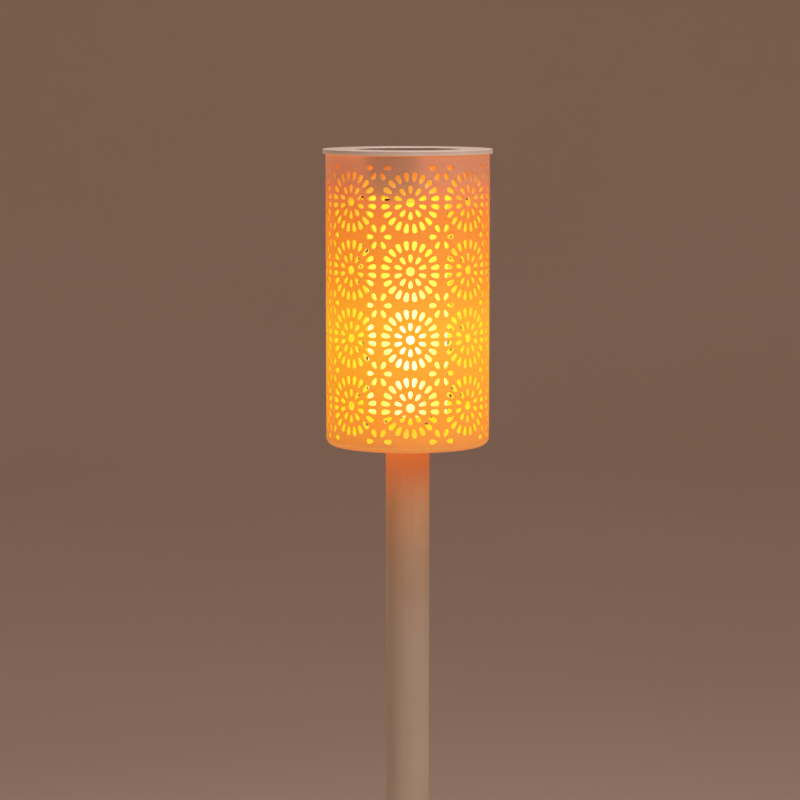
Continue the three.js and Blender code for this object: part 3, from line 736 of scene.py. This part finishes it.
cap_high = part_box("cap")[1]
panel_low, panel_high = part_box("solar_panel")
rim_r = cap_high.x
rim_under = shade_high.z + fit
pocket_r = panel_high.x + 0.5 * MM
pocket_outer_r = pocket_r + 1.6 * MM
pocket_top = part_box("panel_seal")[0].z - fit
pocket_under = pocket_top - 1 * MM
skirt_bore_r = housing_r - 2 * MM
skirt_foot = rim_under - 3 * MM
post_r = 3.5 * MM
cap = turned("cap_moulding", rounded([
    (lead_hole_r, pocket_under, 0),
    (pocket_outer_r, pocket_under, 0.4 * MM),
    (pocket_outer_r, rim_under, 0.3 * MM),
    (skirt_bore_r, rim_under, 0.3 * MM),
    (skirt_bore_r, skirt_foot, 0.3 * MM),
    (housing_r, skirt_foot, 0.5 * MM),
    (housing_r, rim_under, 0.3 * MM),
    (rim_r, rim_under, 0.35 * MM),
    (rim_r, cap_high.z, 0.45 * MM),
    (pocket_r + 0.8 * MM, cap_high.z, 0.3 * MM),
    (pocket_r, cap_high.z - 0.5 * MM, 0.2 * MM),
    (pocket_r, pocket_top, 0.3 * MM),
    (lead_hole_r, pocket_top, 0),
]), 128)
for x, y in post_places:
    carved(cap, rod(post_r, floor_top + fit, rim_under + MM, x, y), "UNION")
    carved(cap, rod(screw_hole_r, floor_top - MM, screw_high.z + fit, x, y), "DIFFERENCE")
# White polypropylene from a polished mould: satin, with a painted warm glow on its lower edge from the
# lit shade.
cap_plastic = moulded_plastic("white_polypropylene_satin", "f4eae2", "ebdfd5", 0.4, 0.5, 0.02)
place = add_node(cap_plastic, "TexCoord").outputs["Object"]
z = add_node(cap_plastic, "SeparateXYZ", {"Vector": place}).outputs["Z"]
above_shade = add_node(cap_plastic, "MapRange", {"Value": z}, From_Min=rim_under, From_Max=cap_high.z)
painted_glow_from_shade = add_node(cap_plastic, "ValToRGB", {"Fac": above_shade.outputs["Result"]},
                  stops=[(0.1, "6e5038"), (0.85, "000000")])
cap_body = cap_plastic.node_tree.nodes["Principled BSDF"]
cap_plastic.node_tree.links.new(painted_glow_from_shade.outputs["Color"], cap_body.inputs["Emission Color"])
cap_body.inputs["Emission Strength"].default_value = 1.0
settle(cap, "solar_head", cap_plastic, ["cap"])

# ---------------------------------------------------------------------------------------------
# Solar panel. A round board of dark cells cast in clear resin, glued into the cap's pocket on
# a ring of black foam. Thin printed silver fingers and bars gather the cells' current.

panel_r = panel_high.x
panel = turned("solar_panel_cast", rounded([
    (0, panel_low.z, 0),
    (panel_r, panel_low.z, 0.1 * MM),
    (panel_r, panel_high.z - 0.15 * MM, 0.3 * MM),
    (0, panel_high.z, 0),
]), closed=False)

# Polycrystalline silicon under cast resin: nearly black blue, its crystals just seen, with the
# silver print over them and one sharp gloss on top.
panel_resin, panel_surface = new_material("polycrystalline_cells_in_resin")
place = add_node(panel_resin, "TexCoord").outputs["Object"]
crystals = add_node(panel_resin, "TexVoronoi", {"Vector": place}, Scale=1 / (3.5 * MM))
blue = add_node(panel_resin, "ValToRGB", {"Fac": crystals.outputs["Color"]},
                stops=[(0.0, "10131c"), (1.0, "1c2436")])
axes = add_node(panel_resin, "SeparateXYZ", {"Vector": place})


def comb(axis, pitch, width):
    """1 on thin parallel lines a pitch apart, and 0 between them."""
    turns = add_node(panel_resin, "Math", {0: axes.outputs[axis]}, operation="MULTIPLY", _1=1 / pitch)
    part = add_node(panel_resin, "Math", {0: turns.outputs["Value"]}, operation="FRACT")
    line = add_node(panel_resin, "Math", {0: part.outputs["Value"]}, operation="LESS_THAN",
                    _1=width / pitch)
    return line.outputs["Value"]


fingers = comb("X", 2 * MM, 0.16 * MM)
bars = comb("Y", 13 * MM, 0.9 * MM)
silver_part = add_node(panel_resin, "Math", {0: fingers, 1: bars}, operation="MAXIMUM")
printed = add_node(panel_resin, "MixRGB", {
    "Fac": silver_part.outputs["Value"],
    "Color1": blue.outputs["Color"],
}, Color2=linear("6c7078"))
resin = add_node(panel_resin, "BsdfPrincipled", {"Base Color": printed.outputs["Color"]},
                 Roughness=0.25, IOR=1.5, Coat_Weight=1.0, Coat_Roughness=0.06)
panel_resin.node_tree.links.new(resin.outputs["BSDF"], panel_surface)
settle(panel, "solar_head", panel_resin, ["solar_panel"])


def paint_nodes(names, material):
    """Gives CAD nodes that stay as they are a finished material."""
    for name in names:
        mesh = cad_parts[name].data
        mesh.materials.clear()
        mesh.materials.append(material)


# Closed-cell foam, black, with no gloss at all.
seal_foam = moulded_plastic("black_polyethylene_foam", "303032", "242426", 0.95, 0.5, 0.15)
paint_nodes(["panel_seal"], seal_foam)

# ---------------------------------------------------------------------------------------------
# Housing screws. Three black-oxide self-tapping screws with round cross-recessed heads, which
# come up through the housing's bosses and hold it to the cap.


def blackened_steel():
    """Steel with a thin black oxide: dark, half dull, a little brighter on rubbed spots."""
    material, surface = new_material("black_oxide_steel")
    place = add_node(material, "TexCoord").outputs["Object"]
    rub = add_node(material, "TexNoise", {"Vector": place}, Scale=1 / (0.8 * MM), Detail=4)
    tone = add_node(material, "ValToRGB", {"Fac": rub.outputs["Fac"]},
                    stops=[(0.4, "1a1a1c"), (0.75, "333336")])
    body = add_node(material, "BsdfPrincipled", {"Base Color": tone.outputs["Color"]},
                    Metallic=0.8, Roughness=0.42)
    material.node_tree.links.new(body.outputs["BSDF"], surface)
    return material


head_r = 2.8 * MM
head_top = boss_under - fit
shank_r = 1.4 * MM
recess_size = (3.4 * MM, 0.8 * MM, 2.2 * MM)
recess_turn = 0.3

screw = turned("housing_screw", rounded([
    (0, screw_low.z, 0),
    (head_r * 0.6, screw_low.z, 0.3 * MM),
    (head_r, screw_low.z + 1.1 * MM, 0.5 * MM),
    (head_r, head_top, 0.1 * MM),
    (shank_r, head_top, 0),
    (shank_r, screw_high.z - 2 * MM, 0.4 * MM),
    (0, screw_high.z, 0),
], 2), 32, closed=False)
for quarter in (0, math.pi / 2):
    bpy.ops.mesh.primitive_cube_add(size=1, location=(0, 0, screw_low.z))
    recess = bpy.context.object
    recess.scale = recess_size
    recess.rotation_euler.z = recess_turn + quarter
    bpy.ops.object.transform_apply(location=True, rotation=True, scale=True)
    carved(screw, recess, "DIFFERENCE")
screw_steel = blackened_steel()
for i, (x, y) in enumerate(post_places, 1):
    driven = bpy.data.objects.new(f"housing_screw_turned_{i}", screw.data.copy())
    bpy.context.scene.collection.objects.link(driven)
    driven.location = (x, y, 0)
    pick(driven)
    bpy.ops.object.transform_apply(location=True, rotation=False, scale=False)
    settle(driven, "solar_head", screw_steel, [f"housing_screw_{i}"])
bpy.data.objects.remove(screw)

# ---------------------------------------------------------------------------------------------
# Battery bay. A rechargeable AA cell in a green shrunk sleeve lies between two nickel-plated
# contact plates, pushed against the far one by a coil spring.

cell_low, cell_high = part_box("battery_cell")
along_bay = Vector((math.cos(bay_turn), math.sin(bay_turn), 0))
cell_middle = ((cell_low + cell_high) / 2).dot(along_bay)
sleeve_half = 24.4 * MM


def sleeved_steel_can():
    """A glossy green sleeve, shrunk on a plated steel can that stays bare at both ends."""
    material, surface = new_material("green_shrink_sleeve_on_steel_can")
    place = add_node(material, "TexCoord").outputs["Object"]
    ripple = add_node(material, "TexNoise", {"Vector": place}, Scale=1 / (6 * MM), Detail=2)
    sleeve = add_node(material, "ValToRGB", {"Fac": ripple.outputs["Fac"]},
                      stops=[(0.3, "37793f"), (0.7, "3f8a48")])
    bump = add_node(material, "Bump", {"Height": ripple.outputs["Fac"]}, Distance=0.04 * MM,
                    Strength=0.5)
    reach = add_node(material, "VectorMath", {0: place}, operation="DOT_PRODUCT", _1=along_bay)
    off_middle = add_node(material, "Math", {0: reach.outputs["Value"]}, operation="SUBTRACT",
                          _1=cell_middle)
    distance = add_node(material, "Math", {0: off_middle.outputs["Value"]}, operation="ABSOLUTE")
    bare = add_node(material, "Math", {0: distance.outputs["Value"]}, operation="GREATER_THAN",
                    _1=sleeve_half)
    tone = add_node(material, "MixRGB", {
        "Fac": bare.outputs["Value"],
        "Color1": sleeve.outputs["Color"],
    }, Color2=linear("c2beb2"))
    body = add_node(material, "BsdfPrincipled", {
        "Base Color": tone.outputs["Color"],
        "Metallic": bare.outputs["Value"],
        "Normal": bump.outputs["Normal"],
    }, Roughness=0.3)
    material.node_tree.links.new(body.outputs["BSDF"], surface)
    return material


paint_nodes(["battery_cell"], sleeved_steel_can())


def plated_steel():
    """Nickel-plated spring steel: warm grey, bright, with faint rolling marks."""
    material, surface = new_material("nickel_plated_steel")
    place = add_node(material, "TexCoord").outputs["Object"]
    marks = add_node(material, "TexNoise", {"Vector": place}, Scale=1 / (0.7 * MM), Detail=3)
    tone = add_node(material, "ValToRGB", {"Fac": marks.outputs["Fac"]},
                    stops=[(0.2, "a8a496"), (0.8, "c8c4b8")])
    body = add_node(material, "BsdfPrincipled", {"Base Color": tone.outputs["Color"]},
                    Metallic=1.0, Roughness=0.3)
    material.node_tree.links.new(body.outputs["BSDF"], surface)
    return material


nickel = plated_steel()
paint_nodes(["battery_contact_minus", "battery_contact_plus", "battery_spring"], nickel)

# ---------------------------------------------------------------------------------------------
# Circuit board and switch. A green glass-epoxy board with the charging controller and choke,
# and under it a slide switch whose black knob comes out through the housing's floor.

# Glass epoxy under green solder mask: a smooth, fairly glossy skin.
board_laminate = moulded_plastic("green_solder_mask", "1f5f3c", "1a5234", 0.35, 1.2, 0.03)
paint_nodes(["circuit_board"], board_laminate)
# The switch's pressed steel shell is nickel-plated like the contacts.
paint_nodes(["switch_body"], nickel)
# Nylon and epoxy mouldings, black and satin.
black_moulding = moulded_plastic("black_nylon", "242426", "1b1b1d", 0.5, 0.5, 0.03)
paint_nodes(["controller_chip", "charging_choke", "switch_knob"], black_moulding)

# ---------------------------------------------------------------------------------------------
# Light core. A white moulded core under the housing, with a flexible board of twelve LEDs
# wrapped round it. The LEDs' packages are white with yellow phosphor resin.

# ABS, off-white and satin.
core_plastic = moulded_plastic("white_abs", "efece4", "e4e0d6", 0.5, 0.5, 0.02)
paint_nodes(["led_core"], core_plastic)
# Polyimide film under white solder mask, a little glossier, so that it throws the light out.
sheet_laminate = moulded_plastic("white_solder_mask", "f0ede2", "e6e2d4", 0.4, 1.2, 0.02)
paint_nodes(["led_sheet"], sheet_laminate)
led_names = [f"led_{i}" for i in range(1, 13)]
led_face_r = max(-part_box(name)[0].y for name in led_names)


def led_package():
    """White plastic LED packages whose outward faces are filled with yellow phosphor resin."""
    material, surface = new_material("white_led_package_and_phosphor_resin")
    place = add_node(material, "TexCoord").outputs["Object"]
    speck = add_node(material, "TexNoise", {"Vector": place}, Scale=1 / (0.5 * MM), Detail=2)
    resin = add_node(material, "ValToRGB", {"Fac": speck.outputs["Fac"]},
                     stops=[(0.3, "efc858"), (0.7, "f7dc7c")])
    radius = add_node(material, "VectorMath", {0: from_axis(material, place)}, operation="LENGTH")
    face = add_node(material, "Math", {0: radius.outputs["Value"]}, operation="GREATER_THAN",
                    _1=led_face_r - 0.05 * MM)
    tone = add_node(material, "MixRGB", {
        "Fac": face.outputs["Value"],
        "Color2": resin.outputs["Color"],
    }, Color1=linear("f2efe8"))
    body = add_node(material, "BsdfPrincipled", {"Base Color": tone.outputs["Color"]},
                    Roughness=0.35, IOR=1.5)
    material.node_tree.links.new(body.outputs["BSDF"], surface)
    return material


paint_nodes(led_names, led_package())

# ---------------------------------------------------------------------------------------------
# Frosted tube and its end cap. Opal acrylic that spreads the LEDs' light. The tube pushes up
# into the housing's socket, and the end cap's plug into the tube. Brightest in its lower half.

opal_low, opal_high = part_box("diffuser_tube")
end_low, end_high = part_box("diffuser_end_cap")
opal_r = opal_high.x
opal_bore_r = opal_r - 1.2 * MM
frosted_tube = turned("frosted_tube", rounded([
    (opal_bore_r, opal_low.z, 0.3 * MM),
    (opal_r, opal_low.z, 0.3 * MM),
    (opal_r, opal_high.z, 0.3 * MM),
    (opal_bore_r, opal_high.z, 0.3 * MM),
], 2))
end_plug_r = opal_bore_r - fit
end_plug_bore_r = end_plug_r - 2 * MM
end_disc_top = opal_low.z - fit
end_cap = turned("frosted_end_cap", rounded([
    (0, end_low.z, 0),
    (opal_r, end_low.z, 0.8 * MM),
    (opal_r, end_disc_top, 0.2 * MM),
    (end_plug_r, end_disc_top, 0),
    (end_plug_r, end_high.z, 0.4 * MM),
    (end_plug_bore_r, end_high.z, 0.3 * MM),
    (end_plug_bore_r, end_disc_top, 0),
    (0, end_disc_top, 0),
]), closed=False)


def lit_opal_plastic():
    """Opal acrylic, softly mottled. It is whitest before the four columns of LEDs behind it."""
    material, surface = new_material("opal_acrylic_lit")
    place = add_node(material, "TexCoord").outputs["Object"]
    level = height_in_shade(material, place)
    frost = add_node(material, "TexNoise", {"Vector": place}, Scale=1 / (0.5 * MM), Detail=2)
    bump = add_node(material, "Bump", {"Height": frost.outputs["Fac"]}, Distance=0.03 * MM,
                    Strength=0.5)
    tint = add_node(material, "ValToRGB", {"Fac": frost.outputs["Fac"]},
                    stops=[(0.3, "efe4cf"), (0.7, "f8f0e0")])
    flame = add_node(material, "ValToRGB", {"Fac": level}, stops=[
        (0.1, "ed9970"), (0.16, "f59e84"), (0.38, "ffc8a5"),
        (0.5, "f3aa76"), (0.62, "e1863a"), (0.85, "c86c16"),
    ])
    between = add_node(material, "ValToRGB", {"Fac": level}, stops=[
        (0.1, "e6903a"), (0.16, "ea9448"), (0.38, "f4a868"),
        (0.5, "e89848"), (0.62, "dc8228"), (0.85, "c46612"),
    ])
    outward = add_node(material, "VectorMath", {0: from_axis(material, place)},
                       operation="NORMALIZE")
    sides = add_node(material, "SeparateXYZ", {"Vector": outward.outputs["Vector"]})
    slant = add_node(material, "Math", {0: sides.outputs["X"], 1: sides.outputs["Y"]},
                     operation="MULTIPLY")
    off_column = add_node(material, "Math", {0: slant.outputs["Value"]}, operation="ABSOLUTE")
    fade = add_node(material, "MapRange", {"Value": off_column.outputs["Value"]},
                    interpolation_type="SMOOTHSTEP", From_Min=0.2, From_Max=0.5)
    lamp = add_node(material, "MixRGB", {
        "Fac": fade.outputs["Result"],
        "Color1": flame.outputs["Color"],
        "Color2": between.outputs["Color"],
    })
    body = add_node(material, "BsdfPrincipled", {
        "Base Color": tint.outputs["Color"],
        "Normal": bump.outputs["Normal"],
        "Emission Color": lamp.outputs["Color"],
    }, Roughness=0.6, IOR=1.49, Emission_Strength=2.4)
    material.node_tree.links.new(body.outputs["BSDF"], surface)
    return material


lit_opal = lit_opal_plastic()
settle(frosted_tube, "solar_head", lit_opal, ["diffuser_tube"])
settle(end_cap, "solar_head", lit_opal, ["diffuser_end_cap"])

# ---------------------------------------------------------------------------------------------
# Leads. Thin stranded copper in red and black PVC, from the panel, the battery's contacts and
# the LED board to the circuit board. They are held at both ends by their solder joints.

# Extruded PVC, strong in colour, smooth and half glossy.
for colour, light, dark in (("red", "b3281c", "9c2016"), ("black", "242425", "1a1a1b")):
    insulation = moulded_plastic(f"{colour}_pvc_insulation", light, dark, 0.4, 0.8, 0.01)
    paint_nodes([f"{lead}_lead_{colour}" for lead in ("panel", "battery", "led")], insulation)

# ---------------------------------------------------------------------------------------------
# Studio. A plain pale floor that rises into a round wall far behind, four soft boxes that are
# kept low so that the lit torch stands out, and the camera a little above the cap, 1.5 m off.

ground = spike_low.z - 0.5 * MM
cove_r = 6.0
cove_sweep = 1.6
cove_height = 5.0
cove = turned("studio_cove", rounded([
    (0, ground, 0),
    (cove_r, ground, cove_sweep),
    (cove_r, ground + cove_height, 0),
], 12), 64, closed=False)
# Wall paint, pale and warm, rolled on matt.
cove_paint, cove_surface = new_material("pale_matt_paint")
place = add_node(cove_paint, "TexCoord").outputs["Object"]
rolled = add_node(cove_paint, "TexNoise", {"Vector": place}, Scale=0.8, Detail=2)
paint_tone = add_node(cove_paint, "ValToRGB", {"Fac": rolled.outputs["Fac"]},
                      stops=[(0.2, "ecdacd"), (0.8, "f2e2d6")])
matt = add_node(cove_paint, "BsdfPrincipled", {"Base Color": paint_tone.outputs["Color"]},
                Roughness=0.95)
cove_paint.node_tree.links.new(matt.outputs["BSDF"], cove_surface)
cove.data.materials.append(cove_paint)
pick(cove)
bpy.ops.object.shade_smooth_by_angle(angle=math.radians(32))


def soft_lamp(name, place, aim, size, power, colour):
    """A square soft box at a place, turned to face a point."""
    lamp = bpy.data.lights.new(name, "AREA")
    lamp.size = size
    lamp.energy = power
    lamp.color = linear(colour)[:3]
    holder = bpy.data.objects.new(name, lamp)
    holder.location = place
    holder.rotation_euler = (Vector(aim) - Vector(place)).to_track_quat("-Z", "Y").to_euler()
    holder.visible_camera = False
    bpy.context.scene.collection.objects.link(holder)


head_centre = (0, 0, shade_foot + 75 * MM)
soft_lamp("key_soft_box", (0.75, -0.75, 1.15), head_centre, 0.5, 3.3, "ffe8e0")
soft_lamp("fill_soft_box", (-0.6, -1.3, 1.0), head_centre, 0.8, 1.3, "fff0ea")
soft_lamp("top_soft_box", (0.15, -0.15, 1.6), head_centre, 0.5, 5.6, "ffeae2")
soft_lamp("rear_soft_box", (-0.7, 1.2, 1.0), head_centre, 0.8, 2.2, "fff0ea")

world = bpy.data.worlds.new("studio_air")
bpy.context.scene.world = world
world.use_nodes = True
world.node_tree.nodes["Background"].inputs["Color"].default_value = linear("ccb6a8")
world.node_tree.nodes["Background"].inputs["Strength"].default_value = 0.4

camera = bpy.data.cameras.new("camera")
camera.sensor_width = 36
camera.lens = 132.7
camera.clip_start = 0.05
camera.clip_end = 50
eye = bpy.data.objects.new("camera", camera)
bpy.context.scene.collection.objects.link(eye)
swing = math.radians(-1.8)
downward = math.radians(6.649)
away = 1492.8 * MM
aside = -3.9 * MM
eye.location = (
    aside * math.cos(swing) + away * math.sin(swing),
    aside * math.sin(swing) - away * math.cos(swing),
    shade_foot + 196.4 * MM,
)
eye.rotation_euler = (math.pi / 2 - downward, 0, swing)
bpy.context.scene.camera = eye
bpy.context.scene.view_settings.view_transform = "Standard"
